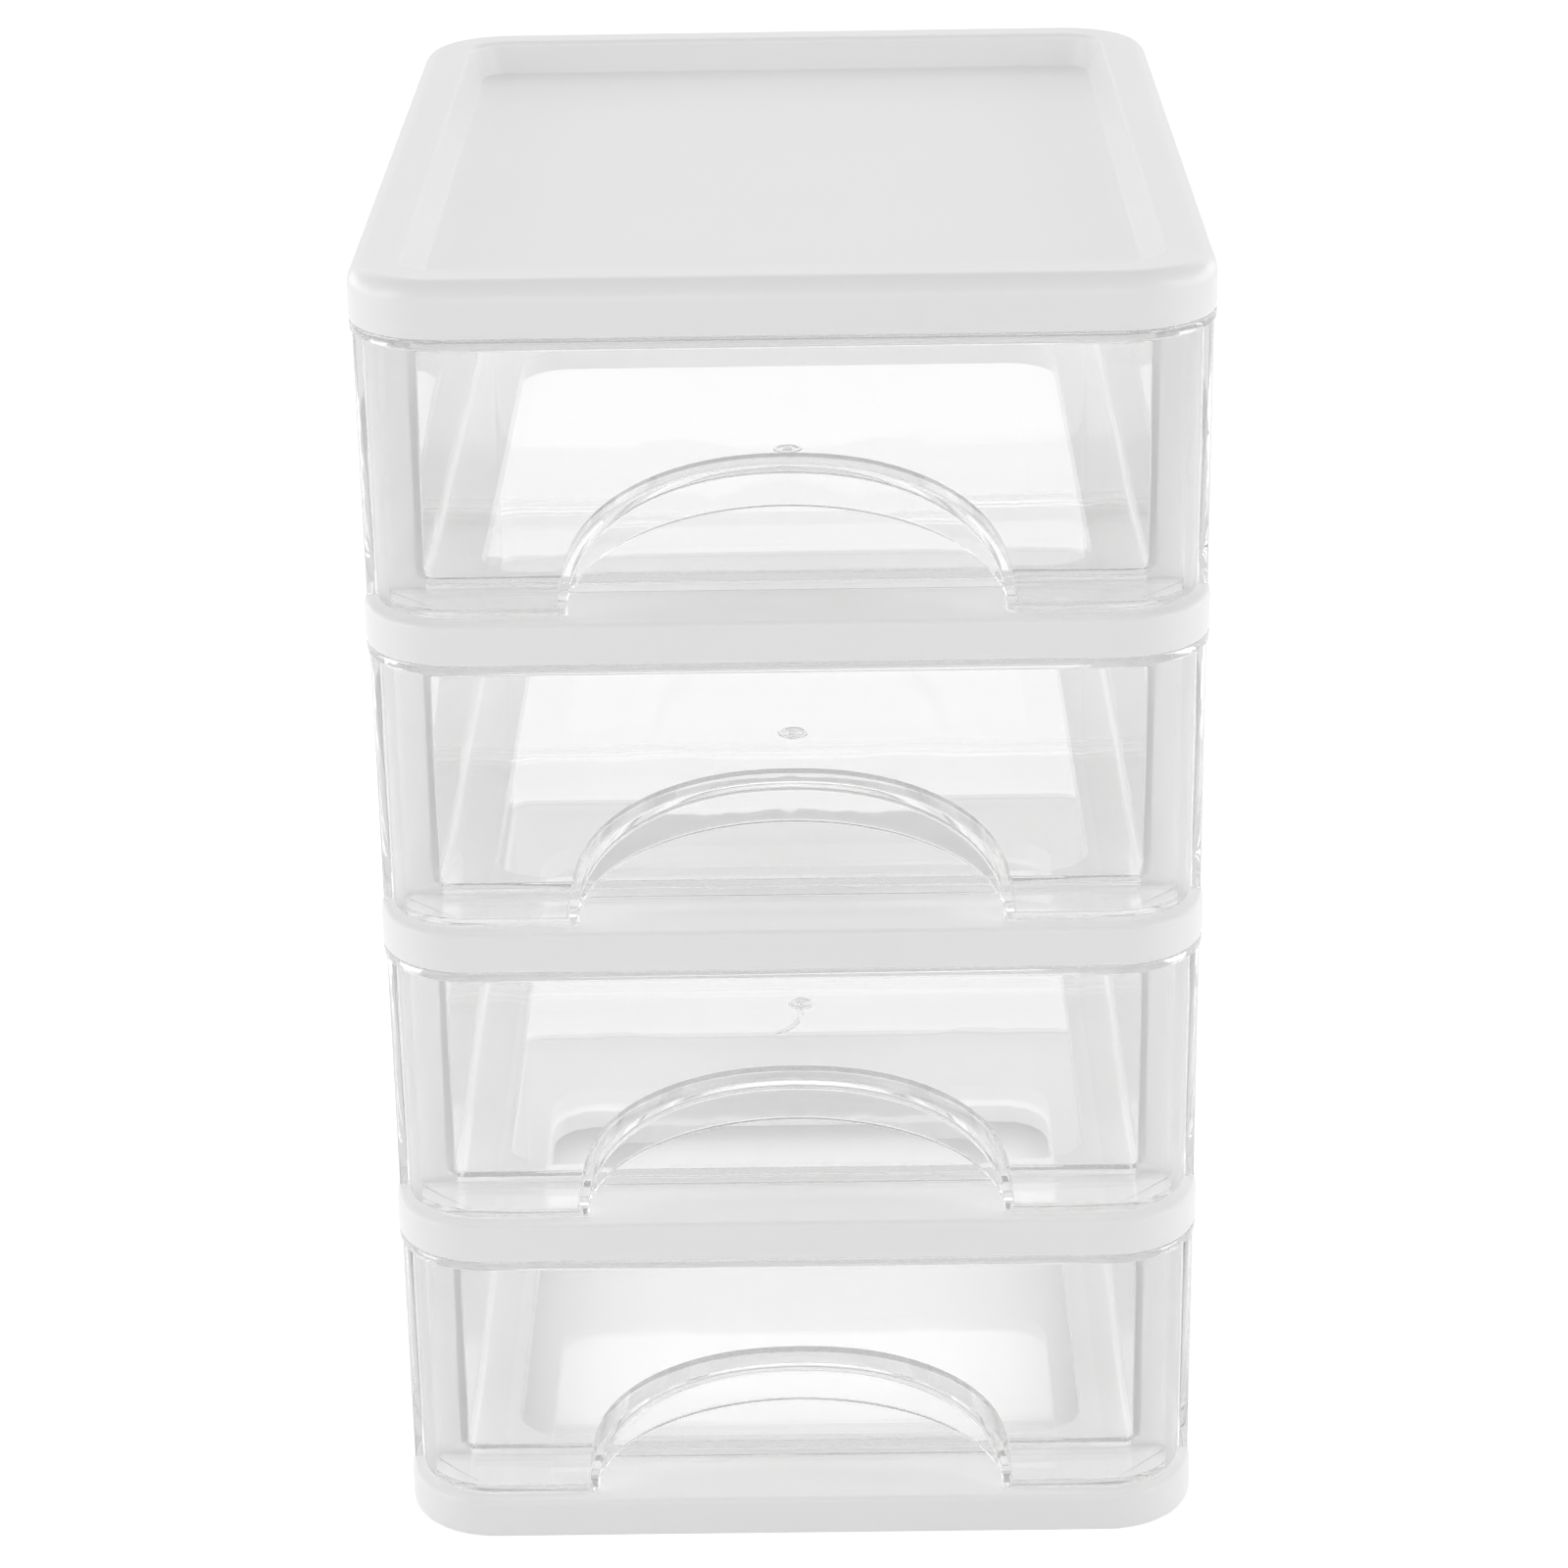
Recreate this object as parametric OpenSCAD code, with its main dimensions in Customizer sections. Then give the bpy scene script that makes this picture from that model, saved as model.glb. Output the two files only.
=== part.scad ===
// Desktop mini drawers: four clear drawers in clear cases, stacked between white bands.
// Millimetres, +Z up, front towards -Y, origin under the middle of the base.

/* [Body] */
// Width over the white bands
body_w = 140; // [120:1:180]
// Depth over the white bands, front to back
body_d = 185; // [150:1:240]
// Radius of the upright corners of every band
corner_r = 16; // [14:0.5:24]
// Clear height between two white bands
case_h = 48; // [40:1:70]

/* [White bands] */
// Height of a shelf or of the base
band_h = 7; // [6:0.5:10]
// Thickness of the skirt that hangs round a band
band_wall = 1.8; // [1.4:0.1:2.4]
// Thickness of the plate on top of a band
plate_t = 2; // [1.5:0.1:3]
// Rounding of a band's upper outer edge
band_edge_r = 1; // [0.4:0.1:1.5]
// Height of the raised runway that a drawer slides along
runway_h = 1.8; // [1.2:0.1:2.4]
// Distance from the side of a band to its hole
hole_side = 19; // [14:1:40]
// Distance from the front of a band to its hole
hole_front = 18.5; // [17.5:0.5:40]
// Distance from the back of a band to its hole
hole_back = 39; // [12:1:60]
// Corner radius of the hole
hole_r = 9; // [3:0.5:14]

/* [Lid] */
// Height of the lid
lid_h = 9.2; // [8:0.1:12]
// Rounding of the lid's upper outer edge
lid_edge_r = 3.5; // [1.5:0.1:4]
// Width of the raised rim round the lid
rim_w = 9; // [8:0.5:10]
// How far the sunk panel's wall leans in
rim_lean = 2.2; // [0.5:0.1:3]
// Rounding of the rim's inner edge
rim_edge_r = 1; // [0.4:0.1:1.2]
// Height of the sunk panel's upper face
panel_z = 3.4; // [3:0.1:4]
// Wall thickness of the lid
lid_wall = 1.8; // [1.4:0.1:2.2]

/* [Clear cases] */
// Thickness of a case's wall
case_wall = 1.6; // [1.2:0.1:2.4]
// How far the wall stands back from the bands' outline
case_inset = 0.35; // [0.2:0.05:0.8]
// Thickness of the ring on top of a case
ring_t = 1.7; // [1.2:0.1:2.5]
// Width of that ring
ring_w = 6; // [5:0.5:8]
// Height of the rib that locates the band above
rib_h = 1.2; // [0.8:0.1:1.5]
// Thickness of that rib
rib_t = 1.2; // [0.8:0.1:1.6]

/* [Drawers] */
// Wall thickness of a drawer
drawer_wall = 1.4; // [1:0.1:2]
// How far the tray's sides stand in from the case's walls
tray_step = 7.05; // [3:0.05:14]
// Corner radius of the tray's back
tray_r = 5; // [3:0.5:12]
// Rounding of the tray's lower edge
tray_edge_r = 2.5; // [2.1:0.1:2.9]
// Rounding of the front's lower edge
front_edge_r = 1; // [0.5:0.1:1.3]
// How far the front stands back from the bands
front_inset = 1.6; // [0.5:0.1:4]
// Depth of the front section, which is wider than the tray
front_d = 13.8; // [12:0.2:13.8]

/* [Finger pull] */
// Width of the arched pocket
pull_w = 72; // [40:1:100]
// Height of the pocket's arch above the band
pull_h = 24.6; // [22:0.1:34]
// Height of the free edge of the lip in front of the pocket
lip_h = 19.1; // [14:0.1:21]
// Depth of the pocket behind the face, at the top of the arch
pull_top_d = 6.6; // [5:0.1:10]
// How full the arch's shoulders are: 2 is an ellipse
pull_fullness = 2.15; // [2:0.05:3]

/* [Clearances] */
// Gap round a part that is pressed or dropped into place
fit_gap = 0.2; // [0.1:0.05:0.4]
// Gap under and beside a part that slides
run_gap = 0.35; // [0.3:0.05:0.6]
// Gap over the drawers, below the ring
head_gap = 0.5; // [0.3:0.1:1.5]
// Gap behind the drawers
tail_gap = 1; // [0.5:0.1:3]

/* [Hidden] */

$fn = 96;
cut = 1;                                             // how far a cutting solid runs past a face
arch_steps = 40;                                     // straight pieces along an arch
tier_h = band_h + case_h;                            // pitch of the tiers
front_y = -body_d / 2;                               // plane of the bands' front
wall_inset = case_inset + case_wall;                 // bands' outline to a case's inner face
stop_y = front_y + front_inset + front_d + run_gap;  // where case walls and runways begin
runway_inset = wall_inset + fit_gap;                 // bands' outline to the runway
drawer_inset = wall_inset + run_gap;                 // bands' outline to a drawer's front section
drawer_top = case_h - ring_t - head_gap;             // top of a drawer above its band
floor_z = run_gap + drawer_wall;                     // upper face of the floor behind the front
tray_z = runway_h + run_gap;                         // underside of the tray
tray_back = body_d / 2 - wall_inset - tail_gap;      // outer face of the tray's back
tray_w = body_w - 2 * (wall_inset + tray_step);      // outer width of the tray
pull_base_d = front_d - drawer_wall;                 // depth of the pocket at its foot
white = [0.93, 0.93, 0.93];
clear = [0.80, 0.88, 0.92, 0.45];

// ---- runs of one profile round a rounded rectangle ----
// A profile is drawn with x = 0 at the corner's centre and x = r at the outer face.

module corner_turn(w, d, r, a) {
    x = (a == 0 || a == 270 ? 1 : -1) * (w / 2 - r);
    y = (a < 180 ? 1 : -1) * (d / 2 - r);
    translate([x, y, 0]) rotate([0, 0, a]) rotate_extrude(angle = 90) children();
}

module straight_run(out, length, a) {
    rotate([0, 0, a]) translate([out, 0, 0]) rotate([90, 0, 0])
        linear_extrude(height = length, center = true) children();
}

module closed_run(w, d, r) {
    for (a = [0, 90, 180, 270]) corner_turn(w, d, r, a) children();
    for (a = [0, 180]) straight_run(w / 2 - r, d - 2 * r, a) children();
    for (a = [90, 270]) straight_run(d / 2 - r, w - 2 * r, a) children();
}

// Two sides, two corners and one end; the other end stays open at y = 0. The end lies at y = d.
module open_run(w, d, r) {
    side = d - r;
    for (m = [0, 1]) mirror([m, 0, 0]) {
        translate([w / 2 - r, side, 0]) rotate_extrude(angle = 90) children();
        translate([0, side / 2, 0]) straight_run(w / 2 - r, side, 0) children();
    }
    translate([0, side, 0]) straight_run(0, w - 2 * r, 90) children();
}

module rounded_outline(w, d, r) {
    square([w, d - 2 * r], center = true);
    square([w - 2 * r, d], center = true);
    for (x = [-1, 1], y = [-1, 1]) translate([x * (w / 2 - r), y * (d / 2 - r)]) circle(r);
}

// A block from x = 0 to x = r whose upper outer edge is round
module rounded_top(r, h, edge) {
    square([r, h - edge]);
    square([r - edge, h]);
    translate([r - edge, h - edge]) circle(edge);
}

// ---- white bands ----

module band_profile() {
    difference() {
        rounded_top(corner_r, band_h, band_edge_r);
        translate([-cut, -cut]) square([corner_r - band_wall + cut, band_h - plate_t + cut]);
    }
}

// The opening in a band, which shows the tier below
module hole_outline() {
    translate([0, (hole_front - hole_back) / 2])
        rounded_outline(body_w - 2 * hole_side, body_d - hole_front - hole_back, hole_r);
}

// The raised face inside the case's walls. Its front edge stops the drawer.
module runway() {
    r = corner_r - runway_inset;
    w = body_w - 2 * runway_inset;
    back = body_d / 2 - runway_inset;
    linear_extrude(runway_h) {
        translate([-w / 2, stop_y]) square([w, back - r - stop_y]);
        translate([-w / 2 + r, stop_y]) square([w - 2 * r, back - stop_y]);
        for (x = [-1, 1]) translate([x * (w / 2 - r), back - r]) circle(r);
    }
}

module band() {
    difference() {
        union() {
            closed_run(body_w, body_d, corner_r) band_profile();
            translate([0, 0, band_h - plate_t / 2])
                cube([body_w - 2 * corner_r, body_d - 2 * corner_r, plate_t], center = true);
            translate([0, 0, band_h]) runway();
        }
        translate([0, 0, -cut]) linear_extrude(band_h + runway_h + 2 * cut) hole_outline();
    }
}

// ---- lid ----

// The space above the sunk panel, inside the rim
module recess_profile() {
    rim_x = corner_r - rim_w;
    polygon([[-cut, panel_z], [rim_x - rim_lean, panel_z], [rim_x, lid_h - rim_edge_r],
             [rim_x, lid_h + cut], [-cut, lid_h + cut]]);
    difference() {
        translate([rim_x, lid_h - rim_edge_r]) square([rim_edge_r, rim_edge_r + cut]);
        translate([rim_x + rim_edge_r, lid_h - rim_edge_r]) circle(rim_edge_r);
    }
}

// The space below the panel and up inside the rim
module channel_profile() {
    skirt_x = corner_r - lid_wall;
    rim_x = corner_r - rim_w + lid_wall;
    polygon([[-cut, -cut], [skirt_x, -cut],
             [skirt_x, lid_h - lid_edge_r], [skirt_x - lid_edge_r + lid_wall, lid_h - lid_wall],
             [rim_x, lid_h - lid_wall], [rim_x - rim_lean, panel_z - lid_wall],
             [-cut, panel_z - lid_wall]]);
}

module lid_form() {
    closed_run(body_w, body_d, corner_r) difference() {
        rounded_top(corner_r, lid_h, lid_edge_r);
        recess_profile();
        channel_profile();
    }
    translate([0, 0, panel_z - lid_wall / 2])
        cube([body_w - 2 * corner_r, body_d - 2 * corner_r, lid_wall], center = true);
}

// ---- clear cases ----

module case_form() {
    // three walls, open to the front
    w = body_w - 2 * case_inset;
    r = corner_r - case_inset;
    translate([0, stop_y, 0])
        open_run(w, body_d / 2 - case_inset - stop_y, r)
            translate([r - case_wall, 0]) square([case_wall, case_h]);
    // ring under the band above, with the rib that locates it
    closed_run(body_w, body_d, corner_r) {
        translate([corner_r - ring_w, case_h - ring_t]) square([ring_w, ring_t]);
        translate([corner_r - band_wall - fit_gap - rib_t, case_h - ring_t])
            square([rib_t, ring_t + rib_h]);
    }
}

// ---- drawers, drawn above the face of their band ----

// Half of a superellipse over the ground line, with its feet run down past the floor
function arch_points(half_w, h, fullness) = concat(
    [[half_w, -cut]],
    [for (i = [0 : arch_steps]) let (a = 180 * i / arch_steps, c = cos(a), s = sin(a))
        [sign(c) * half_w * pow(abs(c), 2 / fullness), h * pow(abs(s), 2 / fullness)]],
    [[-half_w, -cut]]);

module arch_prism(half_w, h, fullness, y0, y1) {
    translate([0, y1, 0]) rotate([90, 0, 0])
        linear_extrude(y1 - y0) polygon(arch_points(half_w, h, fullness));
}

// The pocket behind the lip, or with grow the solid that its walls are cut from
module pull_form(grow, start) {
    face = front_y + front_inset;
    top = pull_h + grow;
    base_y = face + pull_base_d + grow;
    lean = (pull_base_d - pull_top_d) / pull_h;
    intersection() {
        arch_prism(pull_w / 2 + grow, top, pull_fullness, face + start, base_y);
        rotate([90, 0, 90]) linear_extrude(pull_w + 4 * grow + 2 * cut, center = true)
            polygon([[face, -cut], [base_y + lean * cut, -cut], [base_y - lean * top, top], [face, top]]);
    }
}

// Wall and floor of the wide front section, with a round lower edge
module front_profile(r) {
    difference() {
        translate([0, drawer_top]) mirror([0, 1]) rounded_top(r, drawer_top - run_gap, front_edge_r);
        translate([-cut, floor_z]) square([r - drawer_wall + cut, drawer_top - floor_z + cut]);
    }
}

module front_section() {
    r = corner_r - drawer_inset;
    w = body_w - 2 * drawer_inset;
    back = front_y + front_inset + front_d;
    translate([0, back, 0]) mirror([0, 1, 0]) open_run(w, front_d, r) front_profile(r);
    translate([-w / 2 + r, back - front_d + r, run_gap])
        cube([w - 2 * r, front_d - r, drawer_wall]);
}

// Wall and floor of the tray, with a round lower edge inside and out
module tray_profile() {
    inner = tray_edge_r - drawer_wall;
    difference() {
        translate([0, drawer_top]) mirror([0, 1]) rounded_top(tray_r, drawer_top - tray_z, tray_edge_r);
        translate([-cut, tray_z + tray_edge_r])
            square([tray_r - drawer_wall + cut, drawer_top]);
        translate([-cut, tray_z + drawer_wall])
            square([tray_r - tray_edge_r + cut, drawer_top]);
        translate([tray_r - tray_edge_r, tray_z + tray_edge_r]) circle(inner);
    }
}

module tray() {
    start = front_y + front_inset + front_d - drawer_wall;
    length = tray_back - start;
    translate([0, start, 0]) open_run(tray_w, length, tray_r) tray_profile();
    translate([-tray_w / 2 + tray_r, start, tray_z])
        cube([tray_w - 2 * tray_r, length - tray_r, drawer_wall]);
}

// Upright plate where the front section steps in to the tray
module step_plate() {
    w = body_w - 2 * drawer_inset - 2 * drawer_wall;
    back = front_y + front_inset + front_d;
    difference() {
        translate([-w / 2, back - drawer_wall, run_gap]) cube([w, drawer_wall, drawer_top - run_gap]);
        translate([-tray_w / 2 + drawer_wall, back - drawer_wall - cut, tray_z + drawer_wall])
            cube([tray_w - 2 * drawer_wall, drawer_wall + 2 * cut, drawer_top]);
    }
}

module drawer_form() {
    face = front_y + front_inset;
    difference() {
        union() {
            front_section();
            step_plate();
            tray();
            intersection() {
                pull_form(drawer_wall, drawer_wall);
                translate([-body_w / 2, front_y, run_gap]) cube([body_w, body_d, drawer_top]);
            }
        }
        pull_form(0, drawer_wall);
        arch_prism(pull_w / 2, lip_h, 2, face - cut, face + drawer_wall);
    }
}

// ---- nodes ----

module base() color(white) band();
module shelf(tier) translate([0, 0, tier * tier_h]) color(white) band();
module lid() translate([0, 0, 4 * tier_h]) color(white) lid_form();
module case(tier) translate([0, 0, tier * tier_h + band_h]) color(clear) case_form();
module drawer(tier) translate([0, 0, tier * tier_h + band_h]) color(clear) drawer_form();

base();
shelf(1);  // shelf_1
shelf(2);  // shelf_2
shelf(3);  // shelf_3
lid();
case(0);  // case_1
case(1);  // case_2
case(2);  // case_3
case(3);  // case_4
drawer(0);  // drawer_1
drawer(1);  // drawer_2
drawer(2);  // drawer_3
drawer(3);  // drawer_4
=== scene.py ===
# Desktop mini drawers: four clear drawers in clear cases between white bands, under a white lid.

import math

import bmesh
import bpy
from mathutils import Matrix, Vector


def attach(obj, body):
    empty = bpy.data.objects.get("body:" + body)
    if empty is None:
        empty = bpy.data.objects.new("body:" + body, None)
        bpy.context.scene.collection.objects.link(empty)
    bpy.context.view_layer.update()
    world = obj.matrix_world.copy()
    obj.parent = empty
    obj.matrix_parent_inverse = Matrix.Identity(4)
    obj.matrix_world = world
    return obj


mm = 0.001

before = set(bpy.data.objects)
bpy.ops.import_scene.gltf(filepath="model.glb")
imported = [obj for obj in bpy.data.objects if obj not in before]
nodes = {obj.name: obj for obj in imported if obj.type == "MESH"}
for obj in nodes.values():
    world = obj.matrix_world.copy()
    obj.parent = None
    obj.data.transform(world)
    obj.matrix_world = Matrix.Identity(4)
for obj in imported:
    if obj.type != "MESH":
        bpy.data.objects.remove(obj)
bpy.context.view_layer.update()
scene = bpy.context.scene
print("frame loaded:", len(nodes), "nodes")


photoCamera = {
    "photoSize": 1600,                       # width and height of the photograph in pixels
    "focalPixels": 4287.4,                   # focal length in those pixels
    "place": (5.6 * mm, -732.2 * mm, 405.8 * mm),
    "turnLeft": -0.0101,                     # radians about Z
    "lookDown": 0.3889,                      # radians below the horizon
    "tilt": -0.0168,                         # radians about the line of sight
    "sensorWidth": 36.0,
    "seesFrom": 0.01,                        # nearest and farthest distance in metres
    "seesTo": 20.0,
}


def makeCamera(look):
    data = bpy.data.cameras.new("photoCamera")
    data.sensor_fit = "AUTO"
    data.sensor_width = look["sensorWidth"]
    data.lens = look["focalPixels"] / look["photoSize"] * look["sensorWidth"]
    data.clip_start = look["seesFrom"]
    data.clip_end = look["seesTo"]
    turn = look["turnLeft"]
    down = look["lookDown"]
    tilt = look["tilt"]
    ahead = Vector((math.sin(turn) * math.cos(down), math.cos(turn) * math.cos(down), -math.sin(down)))
    level = Vector((math.cos(turn), -math.sin(turn), 0))
    upright = level.cross(ahead)
    right = math.cos(tilt) * level + math.sin(tilt) * upright
    top = math.cos(tilt) * upright - math.sin(tilt) * level
    camera = bpy.data.objects.new("photoCamera", data)
    scene.collection.objects.link(camera)
    turned = Matrix((right, top, -ahead)).transposed().to_4x4()
    camera.matrix_world = Matrix.Translation(look["place"]) @ turned
    scene.camera = camera


makeCamera(photoCamera)
print("camera set")


# small helpers for shader nodes

def addNode(tree, kind, place, **settings):
    node = tree.nodes.new(kind)
    node.location = place
    for name, value in settings.items():
        if name in node.inputs:
            node.inputs[name].default_value = value
        else:
            setattr(node, name, value)
    return node


# gives an input its value: the output of another node, or a plain number or colour
def feed(tree, socket, value):
    if isinstance(value, bpy.types.NodeSocket):
        tree.links.new(value, socket)
    else:
        socket.default_value = value


def addMath(tree, operation, place, *values):
    node = addNode(tree, "ShaderNodeMath", place, operation=operation)
    for socket, value in zip(node.inputs, values):
        feed(tree, socket, value)
    return node.outputs["Value"]


# kind is FLOAT for numbers and RGBA for colours
def addMix(tree, kind, place, factor, first, second):
    node = addNode(tree, "ShaderNodeMix", place, data_type=kind)
    for name, value in (("Factor", factor), ("A", first), ("B", second)):
        feed(tree, node.inputs[name], value)
    return node.outputs["Result"]


def mapRange(tree, source, place, fromMin, fromMax, toMin, toMax, curve="SMOOTHSTEP"):
    node = addNode(tree, "ShaderNodeMapRange", place, interpolation_type=curve)
    feed(tree, node.inputs["Value"], source)
    for name, value in (("From Min", fromMin), ("From Max", fromMax), ("To Min", toMin), ("To Max", toMax)):
        feed(tree, node.inputs[name], value)
    return node.outputs["Result"]


def newGroup(name, inputs, outputs):
    group = bpy.data.node_groups.new(name, "ShaderNodeTree")
    for label, kind, value in inputs:
        socket = group.interface.new_socket(label, in_out="INPUT", socket_type=kind)
        socket.default_value = value
    for label, kind in outputs:
        group.interface.new_socket(label, in_out="OUTPUT", socket_type=kind)
    start = addNode(group, "NodeGroupInput", (-900, 0))
    end = addNode(group, "NodeGroupOutput", (600, 0))
    return group, start, end


def placeGroup(tree, group, place, **values):
    node = addNode(tree, "ShaderNodeGroup", place, node_tree=group)
    for name, value in values.items():
        node.inputs[name].default_value = value
    return node


def newMaterial(name):
    material = bpy.data.materials.new(name)
    material.use_nodes = True
    material.node_tree.nodes.clear()
    return material, material.node_tree


# skin of a moulding: slow waves left by the flow and a fine grain left by the steel
def makeMouldSkin():
    group, start, end = newGroup(
        "mouldSkin",
        [("Flow Size", "NodeSocketFloat", 30.0), ("Grain Size", "NodeSocketFloat", 2200.0),
         ("Grain Share", "NodeSocketFloat", 0.3)],
        [("Height", "NodeSocketFloat"), ("Mottle", "NodeSocketFloat")])
    link = group.links.new
    spot = addNode(group, "ShaderNodeTexCoord", (-1100, 200))
    flow = addNode(group, "ShaderNodeTexNoise", (-600, 200), Detail=1.0, Roughness=0.4)
    grain = addNode(group, "ShaderNodeTexNoise", (-600, -100), Detail=2.0, Roughness=0.6)
    for texture, size in ((flow, "Flow Size"), (grain, "Grain Size")):
        link(spot.outputs["Object"], texture.inputs["Vector"])
        link(start.outputs[size], texture.inputs["Scale"])
    height = addMix(group, "FLOAT", (-200, 100), start.outputs["Grain Share"], flow.outputs["Fac"],
                    grain.outputs["Fac"])
    link(height, end.inputs["Height"])
    link(flow.outputs["Fac"], end.inputs["Mottle"])
    return group


# light traces of handling: faint soft patches where the gloss is lower
def makeHandlingHaze():
    group, start, end = newGroup(
        "handlingHaze",
        [("Patch Size", "NodeSocketFloat", 45.0), ("Cover", "NodeSocketFloat", 0.35)],
        [("Haze", "NodeSocketFloat")])
    link = group.links.new
    spot = addNode(group, "ShaderNodeTexCoord", (-1100, 0))
    patches = addNode(group, "ShaderNodeTexNoise", (-700, 0), Detail=4.0, Roughness=0.65, Distortion=0.4)
    link(spot.outputs["Object"], patches.inputs["Vector"])
    link(start.outputs["Patch Size"], patches.inputs["Scale"])
    clearShare = addMath(group, "SUBTRACT", (-700, -250), 1.0, start.outputs["Cover"])
    haze = mapRange(group, patches.outputs["Fac"], (-300, 0), clearShare, 1.0, 0.0, 1.0)
    link(haze, end.inputs["Haze"])
    return group


mouldSkin = makeMouldSkin()
handlingHaze = makeHandlingHaze()
print("shared effects built")


# what the white and the clear plastic have in common; gives back the plastic, its gloss and its skin
def addPlastic(tree, look):
    link = tree.links.new
    skin = placeGroup(tree, mouldSkin, (-800, -200), **look["skin"])
    haze = placeGroup(tree, handlingHaze, (-800, 200), **look["haze"])
    gloss = mapRange(tree, haze.outputs["Haze"], (-450, 50), 0.0, 1.0, *look["gloss"], curve="LINEAR")
    bump = addNode(tree, "ShaderNodeBump", (-450, -250), Strength=1.0, Distance=look["bumpDepth"])
    link(skin.outputs["Height"], bump.inputs["Height"])
    plastic = addNode(tree, "ShaderNodeBsdfPrincipled", (-100, 100), IOR=look["ior"])
    link(gloss, plastic.inputs["Roughness"])
    link(bump.outputs["Normal"], plastic.inputs["Normal"])
    return plastic, gloss, skin


whitePlastic = {
    "colour": (0.930, 0.930, 0.928, 1),
    "mottledColour": (0.910, 0.910, 0.907, 1),
    "gloss": (0.30, 0.38),                   # roughness of the glossier and the duller patches
    "ior": 1.49,
    "bumpDepth": 0.012 * mm,
    "skin": {"Flow Size": 28.0, "Grain Size": 2400.0, "Grain Share": 0.25},
    "haze": {"Patch Size": 35.0, "Cover": 0.5},
}


def makeWhitePlastic(look):
    material, tree = newMaterial("whitePlastic")
    plastic, gloss, skin = addPlastic(tree, look)
    mottle = skin.outputs["Mottle"]
    colour = addMix(tree, "RGBA", (-450, 300), mottle, look["colour"], look["mottledColour"])
    tree.links.new(colour, plastic.inputs["Base Color"])
    end = addNode(tree, "ShaderNodeOutputMaterial", (250, 100))
    tree.links.new(plastic.outputs["BSDF"], end.inputs["Surface"])
    return material


clearPlastic = {
    "colour": (0.997, 0.997, 0.997, 1),
    "gloss": (0.004, 0.03),
    "ior": 1.49,
    "bumpDepth": 0.004 * mm,
    "skin": {"Flow Size": 22.0, "Grain Size": 900.0, "Grain Share": 0.04},
    "haze": {"Patch Size": 60.0, "Cover": 0.45},
    "turnsInside": 7.5,                      # light caught in a wall gets out after so many turns
    "caughtColour": (0.70, 0.70, 0.70, 1),   # and has lost some of its strength by then
}

# the plate where a drawer steps in from its wide front to its tray, and the wall beside it, keep the
# mould's satin grain, and are tinted grey as painted shade
satinStepWithPaintedShade = {
    # for each place: how far out it starts, then the middle and half of its reach along Y
    "places": ((59.3 * mm, -77.8 * mm, 0.85 * mm), (64.8 * mm, -81.5 * mm, 4.5 * mm)),
    "gloss": 0.42,
    # grey painted shade laid on the satin places
    "colour": (0.78, 0.78, 0.78, 1),
}


# 1 on the satin places of a drawer, which are duller and tinted with painted shade, 0 elsewhere
def addStepMask(tree, look, place):
    left, up = place
    spot = addNode(tree, "ShaderNodeTexCoord", (left - 750, up))
    split = addNode(tree, "ShaderNodeSeparateXYZ", (left - 600, up))
    tree.links.new(spot.outputs["Object"], split.inputs["Vector"])
    side = addMath(tree, "ABSOLUTE", (left - 450, up), split.outputs["X"])
    masks = []
    for row, (sideFrom, middle, half) in enumerate(look["places"]):
        down = up - 350 * row
        outside = addMath(tree, "GREATER_THAN", (left - 300, down + 80), side, sideFrom)
        level = addMath(tree, "COMPARE", (left - 300, down - 80), split.outputs["Y"], middle, half)
        masks.append(addMath(tree, "MULTIPLY", (left - 150, down), outside, level))
    return addMath(tree, "MAXIMUM", place, *masks)


def makeClearPlastic(name, look, step=None):
    material, tree = newMaterial(name)
    link = tree.links.new
    plastic, gloss, skin = addPlastic(tree, look)
    plastic.inputs["Base Color"].default_value = look["colour"]
    plastic.inputs["Transmission Weight"].default_value = 1.0
    if step:
        onStep = addStepMask(tree, step, (-450, 400))
        duller = addMix(tree, "FLOAT", (-280, 50), onStep, gloss, step["gloss"])
        # painted shade: the satin places are tinted grey
        paintedStepShade = addMix(tree, "RGBA", (-280, 300), onStep, look["colour"], step["colour"])
        link(duller, plastic.inputs["Roughness"])
        link(paintedStepShade, plastic.inputs["Base Color"])
    # lamps shine through it, and light that is caught inside a wall gets out after some turns
    rays = addNode(tree, "ShaderNodeLightPath", (-500, 700))
    longCaught = addMath(tree, "GREATER_THAN", (-300, 750), rays.outputs["Ray Depth"], look["turnsInside"])
    caught = addMath(tree, "MULTIPLY", (-150, 750), longCaught, rays.outputs["Is Reflection Ray"])
    passes = addMath(tree, "MAXIMUM", (0, 700), rays.outputs["Is Shadow Ray"], caught)
    firstOut = addMath(tree, "LESS_THAN", (-300, 550), rays.outputs["Transparent Depth"], 0.5)
    weaker = addMath(tree, "MULTIPLY", (-150, 550), firstOut, caught)
    passColour = addMix(tree, "RGBA", (-280, -400), weaker, look["colour"], look["caughtColour"])
    passing = addNode(tree, "ShaderNodeBsdfTransparent", (-100, -350))
    link(passColour, passing.inputs["Color"])
    mix = addNode(tree, "ShaderNodeMixShader", (250, 100))
    link(passes, mix.inputs[0])
    link(plastic.outputs["BSDF"], mix.inputs[1])
    link(passing.outputs["BSDF"], mix.inputs[2])
    end = addNode(tree, "ShaderNodeOutputMaterial", (500, 100))
    link(mix.outputs["Shader"], end.inputs["Surface"])
    return material


whiteFinish = makeWhitePlastic(whitePlastic)
caseFinish = makeClearPlastic("caseClear", clearPlastic)
drawerFinish = makeClearPlastic("drawerClear", clearPlastic, satinStepWithPaintedShade)
for name, node in nodes.items():
    kind = name.split("_")[0]
    finish = {"case": caseFinish, "drawer": drawerFinish}.get(kind, whiteFinish)
    node.data.materials.clear()
    node.data.materials.append(finish)
print("plastics made and assigned")


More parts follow.
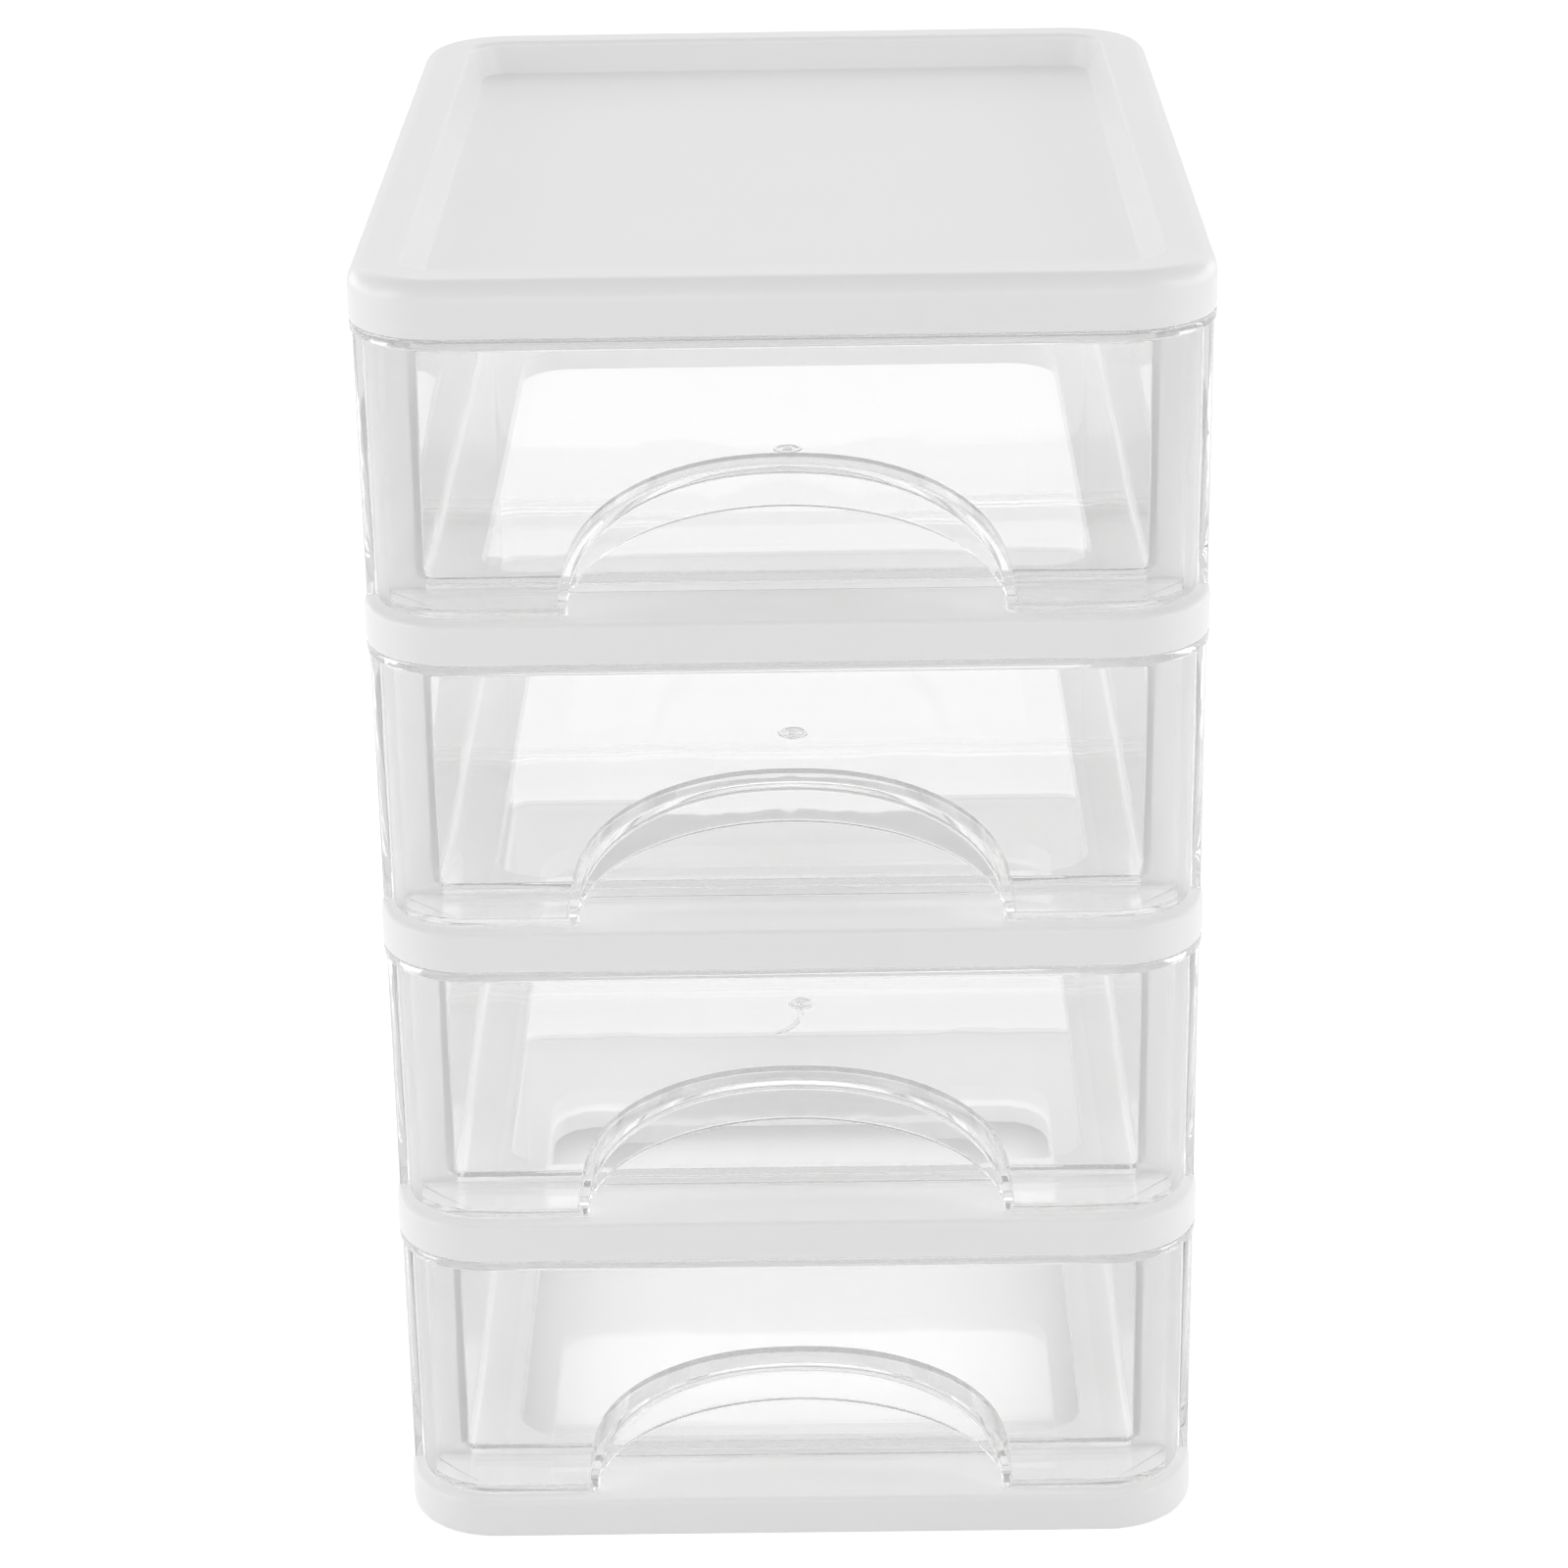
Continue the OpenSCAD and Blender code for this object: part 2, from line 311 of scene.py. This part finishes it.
edgeLook = {
    "weld": 0.001 * mm,                      # corners of the mesh that are this close become one
    "round": 0.28 * mm,                      # radius of the edges that a mould leaves sharp
    "from": 0.6,                             # radians between two faces from which an edge is rounded
    "steps": 2,
    "seatGap": 0.02 * mm,                    # the cases' faces stay this far off the bands that they touch
}


# edges as a mould leaves them
def finishEdges(node, look, seated):
    weld = node.modifiers.new("weld", "WELD")
    weld.merge_threshold = look["weld"]
    bevel = node.modifiers.new("edges", "BEVEL")
    bevel.width = look["round"]
    bevel.segments = look["steps"]
    bevel.limit_method = "ANGLE"
    bevel.angle_limit = look["from"]
    bevel.use_clamp_overlap = False
    if seated:
        gap = node.modifiers.new("seatGap", "DISPLACE")
        gap.mid_level = 0.0
        gap.strength = -look["seatGap"]
        gap.direction = "NORMAL"
    smooth = node.modifiers.new("flatFaces", "WEIGHTED_NORMAL")
    smooth.mode = "FACE_AREA"
    smooth.keep_sharp = False


for name, node in nodes.items():
    finishEdges(node, edgeLook, name.startswith("case"))
print("edges rounded")


# the marks where the plastic ran into the mould
gateMark = {
    # radius and height in millimetres, from the broken stub in the middle to the ring round it
    "section": ((0.0, 0.30), (0.30, 0.34), (0.48, 0.22), (0.62, 0.05), (1.30, 0.03), (1.90, 0.06),
                (2.15, 0.22), (2.42, 0.28), (2.66, 0.16), (2.74, 0.0)),
    "turns": 56,
    "uneven": 0.05,                          # share by which the ring wanders from a true circle
    "floorAbove": 3.2,                       # millimetres from a drawer's lowest point to its tray's floor
    "lift": 0.012 * mm,                      # off that floor
}

# node: body, X and Y of the middle in millimetres, and how high and how wide the mark is there
gatePlaces = {
    "drawer_1": ("bottom_drawer", 0.0, -11.5, 0.7, 0.95),
    "drawer_2": ("second_drawer", 0.9, -12.0, 1.1, 0.90),
    "drawer_3": ("third_drawer", 0.2, -11.5, 1.2, 1.00),
    "drawer_4": ("top_drawer", 0.0, -11.5, 0.4, 0.95),
}


# height in millimetres of the floor of a drawer's tray
def trayFloorHeight(drawer, look):
    lowest = min(corner.co.z for corner in drawer.data.vertices)
    return round(lowest / mm, 3) + look["floorAbove"]


# smooth all over but for the flat underside
def placeClearPiece(name, shape, body):
    bmesh.ops.recalc_face_normals(shape, faces=shape.faces)
    mesh = bpy.data.meshes.new(name)
    shape.to_mesh(mesh)
    shape.free()
    for face in mesh.polygons:
        underside = face.normal.z <= -0.9
        face.use_smooth = len(face.vertices) < 5 and not underside
    piece = bpy.data.objects.new(name, mesh)
    scene.collection.objects.link(piece)
    piece.data.materials.append(caseFinish)
    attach(piece, body)
    return piece


def makeGateMark(name, look, body, x, y, z, high, wide):
    shape = bmesh.new()
    rings = []
    for radius, height in look["section"][1:]:
        ring = []
        for step in range(look["turns"]):
            angle = step / look["turns"] * 2 * math.pi
            away = 1 + look["uneven"] * math.sin(3 * angle + z) * math.cos(2 * angle + radius)
            reach = radius * wide * away * mm
            place = (x * mm + reach * math.cos(angle), y * mm + reach * math.sin(angle),
                     z * mm + look["lift"] + height * high * mm)
            ring.append(shape.verts.new(place))
        rings.append(ring)
    stub = look["section"][0][1]
    middle = shape.verts.new((x * mm, y * mm, z * mm + look["lift"] + stub * high * mm))
    for step in range(look["turns"]):
        after = (step + 1) % look["turns"]
        shape.faces.new((middle, rings[0][step], rings[0][after]))
        for inner, outer in zip(rings, rings[1:]):
            shape.faces.new((inner[step], outer[step], outer[after], inner[after]))
    shape.faces.new(reversed(rings[-1]))
    placeClearPiece(name, shape, body)


# the flow left a short tail behind the mark of one drawer
gateTail = {
    "drawer": "drawer_2",
    # X and Y in millimetres from the mark's middle, then half the width and the height
    "path": ((0.0, -1.9, 0.95, 0.34), (-0.1, -3.6, 0.80, 0.38), (-0.3, -5.6, 0.62, 0.36),
             (-0.6, -7.6, 0.56, 0.34), (-1.3, -9.4, 0.70, 0.36), (-2.3, -10.9, 0.98, 0.38),
             (-3.6, -12.0, 0.95, 0.32), (-4.9, -12.5, 0.30, 0.10)),
    "across": 9,                             # points from one side of the ridge to the other
    "rounds": (1, 2),                        # how often it is rounded on screen and in a render
}


def makeGateTail(name, look, lift, body, x, y, z):
    shape = bmesh.new()
    rows = []
    path = look["path"]
    for index, (along, down, half, high) in enumerate(path):
        before = path[max(index - 1, 0)]
        after = path[min(index + 1, len(path) - 1)]
        way = Vector((after[0] - before[0], after[1] - before[1])).normalized()
        row = []
        for step in range(look["across"]):
            share = step / (look["across"] - 1) * 2 - 1
            side = share * half
            place = ((x + along - way.y * side) * mm, (y + down + way.x * side) * mm,
                     z * mm + lift + high * (1 - share * share) * mm)
            row.append(shape.verts.new(place))
        rows.append(row)
    for near, far in zip(rows, rows[1:]):
        for step in range(look["across"] - 1):
            shape.faces.new((near[step], near[step + 1], far[step + 1], far[step]))
        shape.faces.new((near[0], far[0], far[-1], near[-1]))
    shape.faces.new(rows[0])
    shape.faces.new(reversed(rows[-1]))
    piece = placeClearPiece(name, shape, body)
    rounder = piece.modifiers.new("rounder", "SUBSURF")
    rounder.levels, rounder.render_levels = look["rounds"]


for name, (body, x, y, high, wide) in gatePlaces.items():
    z = trayFloorHeight(nodes[name], gateMark)
    makeGateMark("gateMark_" + name, gateMark, body, x, y, z, high, wide)
tailed = gateTail["drawer"]
body, x, y = gatePlaces[tailed][:3]
z = trayFloorHeight(nodes[tailed], gateMark)
makeGateTail("gateTail_" + tailed, gateTail, gateMark["lift"], body, x, y, z)
print("gate marks made")


# 1 for rays that look at something, straight, by a reflection or through clear plastic, and 0 for the
# rays that gather light
def addSeenMask(tree, place):
    left, up = place
    rays = addNode(tree, "ShaderNodeLightPath", (left - 200, up))
    mirrored = addMath(tree, "MAXIMUM", place, rays.outputs["Is Camera Ray"], rays.outputs["Is Glossy Ray"])
    looking = addMath(tree, "MAXIMUM", (left + 150, up), mirrored, rays.outputs["Is Transmission Ray"])
    straight = addMath(tree, "LESS_THAN", (left, up - 170), rays.outputs["Diffuse Depth"], 0.5)
    return addMath(tree, "MULTIPLY", (left + 300, up), looking, straight)


floorLook = {
    "size": 12.0,
    "colour": (0.92, 0.92, 0.92, 1),
    "lift": 0.30,                            # added where the floor is looked at, so it reads white
    "paintedShadowLift": 0.17,                       # and less of it under the object, a painted shadow
    "underSide": (0.055, 0.070),             # that painted shadow ends softly this far to the side
    "underEnd": (0.075, 0.092),              # and to the front and back
    "paperHalf": (0.42, 0.90),               # the white paper ends softly this far to the side
    "paperFront": (-0.50, -0.15),            # and in front
    "roomColour": (0.25, 0.25, 0.25, 1),     # beyond the paper the floor goes over into a pale grey room
    "roomGlow": 0.42,
}


def makeFloorPaper(look):
    material, tree = newMaterial("floorPaper")
    link = tree.links.new
    seen = addSeenMask(tree, (-1100, -300))
    spot = addNode(tree, "ShaderNodeNewGeometry", (-1500, 200))
    split = addNode(tree, "ShaderNodeSeparateXYZ", (-1300, 200))
    link(spot.outputs["Position"], split.inputs["Vector"])
    side = addMath(tree, "ABSOLUTE", (-1150, 300), split.outputs["X"])
    deep = addMath(tree, "ABSOLUTE", (-1150, -500), split.outputs["Y"])
    # its colour: white on the paper, and everywhere for the rays that gather light
    across = mapRange(tree, side, (-1000, 300), *look["paperHalf"], 1, 0)
    along = mapRange(tree, split.outputs["Y"], (-1000, 100), *look["paperFront"], 0, 1)
    onPaper = addMath(tree, "MULTIPLY", (-800, 200), across, along)
    unseen = addMath(tree, "SUBTRACT", (-800, 0), 1.0, seen)
    white = addMath(tree, "MAXIMUM", (-650, 100), onPaper, unseen)
    colour = addMix(tree, "RGBA", (-480, 100), white, look["roomColour"], look["colour"])
    paper = addNode(tree, "ShaderNodeBsdfDiffuse", (-300, 100))
    link(colour, paper.inputs["Color"])
    # and what is added where it is looked at, with less under the object as a painted shadow
    low = look["paintedShadowLift"]
    full = look["lift"]
    acrossLift = mapRange(tree, side, (-1000, -450), *look["underSide"], low, full)
    alongLift = mapRange(tree, deep, (-1000, -650), *look["underEnd"], low, full)
    lift = addMath(tree, "MAXIMUM", (-800, -500), acrossLift, alongLift)
    level = addMix(tree, "FLOAT", (-650, -350), onPaper, look["roomGlow"], lift)
    strength = addMath(tree, "MULTIPLY", (-480, -150), seen, level)
    glow = addNode(tree, "ShaderNodeEmission", (-300, -100))
    link(strength, glow.inputs["Strength"])
    both = addNode(tree, "ShaderNodeAddShader", (0, 0))
    link(paper.outputs["BSDF"], both.inputs[0])
    link(glow.outputs["Emission"], both.inputs[1])
    end = addNode(tree, "ShaderNodeOutputMaterial", (250, 0))
    link(both.outputs["Shader"], end.inputs["Surface"])
    return material


def makeFloor(look):
    half = look["size"] / 2
    corners = [(-half, -half, 0), (half, -half, 0), (half, half, 0), (-half, half, 0)]
    mesh = bpy.data.meshes.new("floor")
    mesh.from_pydata(corners, [], [(0, 1, 2, 3)])
    floor = bpy.data.objects.new("floor", mesh)
    scene.collection.objects.link(floor)
    floor.data.materials.append(makeFloorPaper(look))


makeFloor(floorLook)
print("floor made")


skyLook = {
    "frontLight": 0.21,                      # light from in front, the sides, behind and overhead
    "sideLight": 0.10,
    "backLight": 0.80,
    "topLight": 0.87,
    "seenBack": 1.0,                         # brightness of the backdrop and of the room, as looked at
    "seenRoom": 0.60,
    "backdropEdge": (0.50, 0.93),            # how far round the backdrop reaches, as the Y of a direction
    "frontToSide": (-0.8, 0.1),              # where one light goes over into the next, also as the Y
    "sideToBack": (0.1, 0.8),
    "overhead": (0.35, 0.9),                 # and as the Z
}


def makeSky(look):
    world = bpy.data.worlds.new("studio")
    world.use_nodes = True
    scene.world = world
    tree = world.node_tree
    tree.nodes.clear()
    link = tree.links.new
    seen = addSeenMask(tree, (-700, 200))
    way = addNode(tree, "ShaderNodeTexCoord", (-1100, -100))
    split = addNode(tree, "ShaderNodeSeparateXYZ", (-900, -100))
    link(way.outputs["Generated"], split.inputs["Vector"])
    back = split.outputs["Y"]
    fromBehind = look["backLight"] - look["sideLight"]
    toSide = mapRange(tree, back, (-650, -400), *look["frontToSide"], look["frontLight"], look["sideLight"])
    toBack = mapRange(tree, back, (-650, -550), *look["sideToBack"], 0, fromBehind)
    around = addMath(tree, "ADD", (-500, -450), toSide, toBack)
    height = mapRange(tree, split.outputs["Z"], (-650, -700), *look["overhead"], 0, 1)
    light = addMix(tree, "FLOAT", (-350, -400), height, around, look["topLight"])
    fade = mapRange(tree, back, (-650, -100), *look["backdropEdge"], look["seenRoom"], look["seenBack"])
    level = addMix(tree, "FLOAT", (-200, 0), seen, light, fade)
    background = addNode(tree, "ShaderNodeBackground", (-150, 0))
    link(level, background.inputs["Strength"])
    end = addNode(tree, "ShaderNodeOutputWorld", (100, 0))
    link(background.outputs["Background"], end.inputs["Surface"])


makeSky(skyLook)
print("surroundings made")


lampSet = {
    # name: place, aimed at, width, height, watts
    "leftSoftbox": ((-1.3, -0.6, 0.7), (0, 0, 0.12), 0.5, 0.9, 4.0),
    "rightSoftbox": ((1.3, -0.6, 0.7), (0, 0, 0.12), 0.5, 0.9, 4.0),
    "frontSoftbox": ((0.0, -1.6, 0.5), (0, 0, 0.1), 1.6, 0.5, 3.9),
    "backSoftbox": ((0.0, 1.2, 1.0), (0, 0, 0.1), 2.2, 0.6, 3.4),
    "backLowSoftbox": ((0.0, 1.5, 0.45), (0, 0, 0.1), 1.6, 0.4, 0.4),
    "leftBackSoftbox": ((-1.5, 0.5, 0.4), (0, 0, 0.1), 2.2, 0.7, 7.0),
    "rightBackSoftbox": ((1.5, 0.5, 0.4), (0, 0, 0.1), 2.2, 0.7, 7.0),
}


def makeLamp(name, place, aim, width, height, watts):
    data = bpy.data.lights.new(name, "AREA")
    data.shape = "RECTANGLE"
    data.size = width
    data.size_y = height
    data.energy = watts
    lamp = bpy.data.objects.new(name, data)
    scene.collection.objects.link(lamp)
    lamp.location = place
    lamp.rotation_mode = "QUATERNION"
    lamp.rotation_quaternion = (Vector(aim) - Vector(place)).to_track_quat("-Z", "Y")


for name, values in lampSet.items():
    makeLamp(name, *values)
print("lamps set")


# how light is followed: many walls lie behind each other, and without the blur the white shelves get the
# light that the walls let in
lightPaths = {
    "max_bounces": 24,
    "transmission_bounces": 24,
    "transparent_max_bounces": 24,
    "glossy_bounces": 10,
    "diffuse_bounces": 6,
    "blur_glossy": 0.0,
}
for name, value in lightPaths.items():
    setattr(scene.cycles, name, value)
scene.view_settings.view_transform = "Standard"
print("light paths set")
